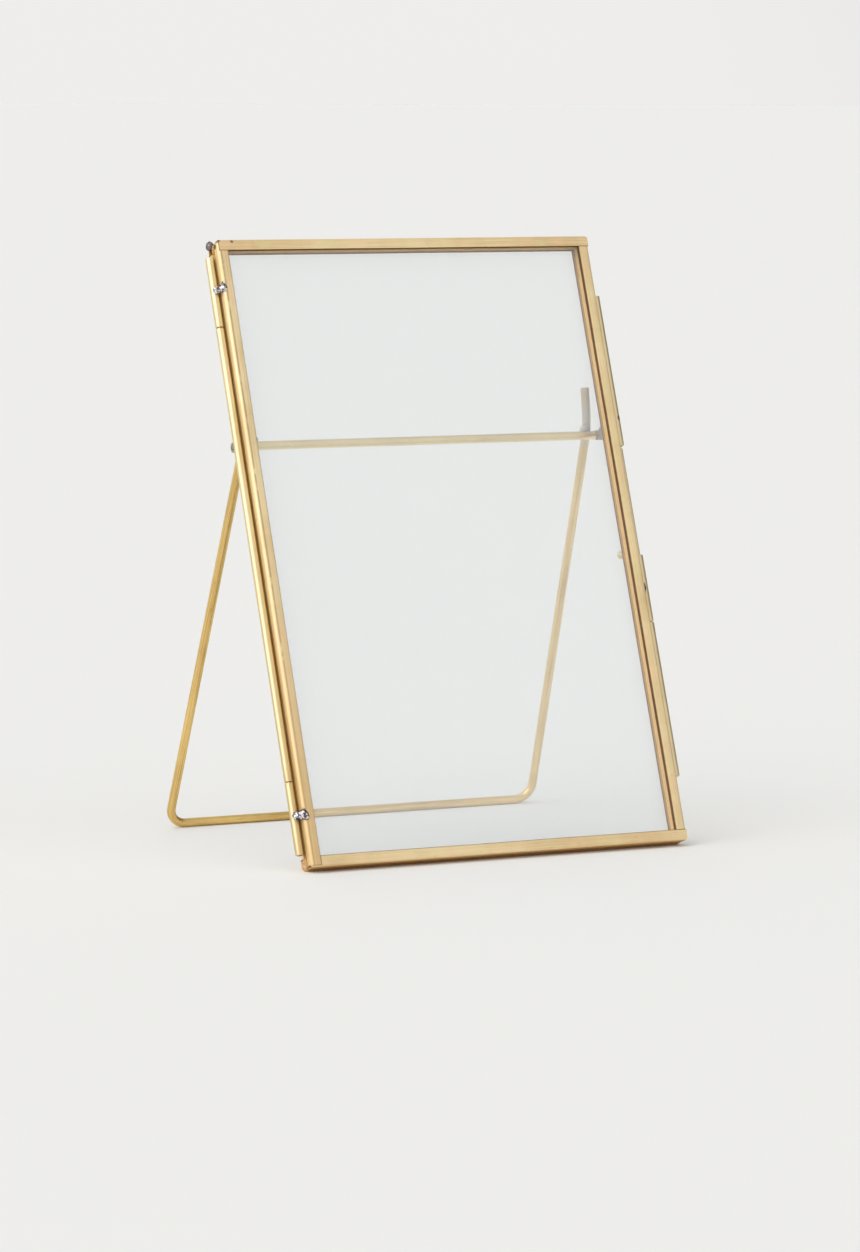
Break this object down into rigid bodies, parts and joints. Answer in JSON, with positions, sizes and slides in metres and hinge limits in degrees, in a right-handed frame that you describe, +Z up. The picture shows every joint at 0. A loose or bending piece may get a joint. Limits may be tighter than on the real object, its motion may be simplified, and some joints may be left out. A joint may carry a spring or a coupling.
{
  "type": "standing photo frame",
  "caption": "Double-glass photo frame in brass channel, hinged like a book, closed by a sliding wire bolt and propped by a folding wire stand.",
  "frame": {"origin": "middle of the footprint on the table, under the frame as it stands", "axes": "+Z up, the glass faces -Y and leans back towards +Y, X runs along the width with the hinge at -X"},
  "size_m": [0.1132, 0.0884, 0.1563],
  "materials": {
    "brass_sheet": "satin folded sheet, lightly worn",
    "brass_tube": "bright drawn tube",
    "brass_wire": "bright drawn wire",
    "solder": "dull soft solder, uneven",
    "glass": "clear, polished"
  },
  "bodies": {
    "back_leaf": {"back_glass": "glass", "back_top_channel": "brass_sheet", "back_bottom_channel": "brass_sheet", "back_left_channel": "brass_sheet", "back_right_channel": "brass_sheet", "hinge_tube_middle": "brass_tube", "hinge_pin": "brass_wire", "hinge_solder_middle_lower": "solder", "hinge_solder_middle_upper": "solder", "stand_eyelet_left": "brass_tube", "stand_eyelet_right": "brass_tube", "eyelet_solder_left": "solder", "eyelet_solder_right": "solder", "bolt_keeper": "brass_tube", "keeper_solder": "solder"},
    "front_leaf": {"front_glass": "glass", "front_top_channel": "brass_sheet", "front_bottom_channel": "brass_sheet", "front_left_channel": "brass_sheet", "front_right_channel": "brass_sheet", "hinge_tube_bottom": "brass_tube", "hinge_tube_top": "brass_tube", "hinge_solder_bottom": "solder", "hinge_solder_top": "solder", "bolt_guide_long": "brass_tube", "bolt_guide_short": "brass_tube", "guide_solder_long": "solder", "guide_solder_short": "solder"},
    "bolt": {"bolt_rod": "brass_wire", "bolt_knob": "brass_wire"},
    "stand": {"stand_crossbar": "brass_tube", "stand_pivot_wire": "brass_wire", "stand_leg_wire": "brass_wire", "leg_solder_left": "solder", "leg_solder_right": "solder"}
  },
  "joints": [
    {"name": "leaf_hinge", "type": "hinge", "parent": "back_leaf", "child": "front_leaf", "pos_m": [-0.0555, -0.03998, 0.00457], "axis": [0, -0.3453, -0.9385], "range_deg": [0, 180]},
    {"name": "stand_fold", "type": "hinge", "parent": "back_leaf", "child": "stand", "pos_m": [0, 0.00297, 0.10363], "axis": [-1, 0, 0], "range_deg": [0, 42]},
    {"name": "bolt_slide", "type": "slide", "parent": "front_leaf", "child": "bolt", "axis": [0, 0.3453, 0.9385], "range_m": [0, 0.028]}
  ]
}
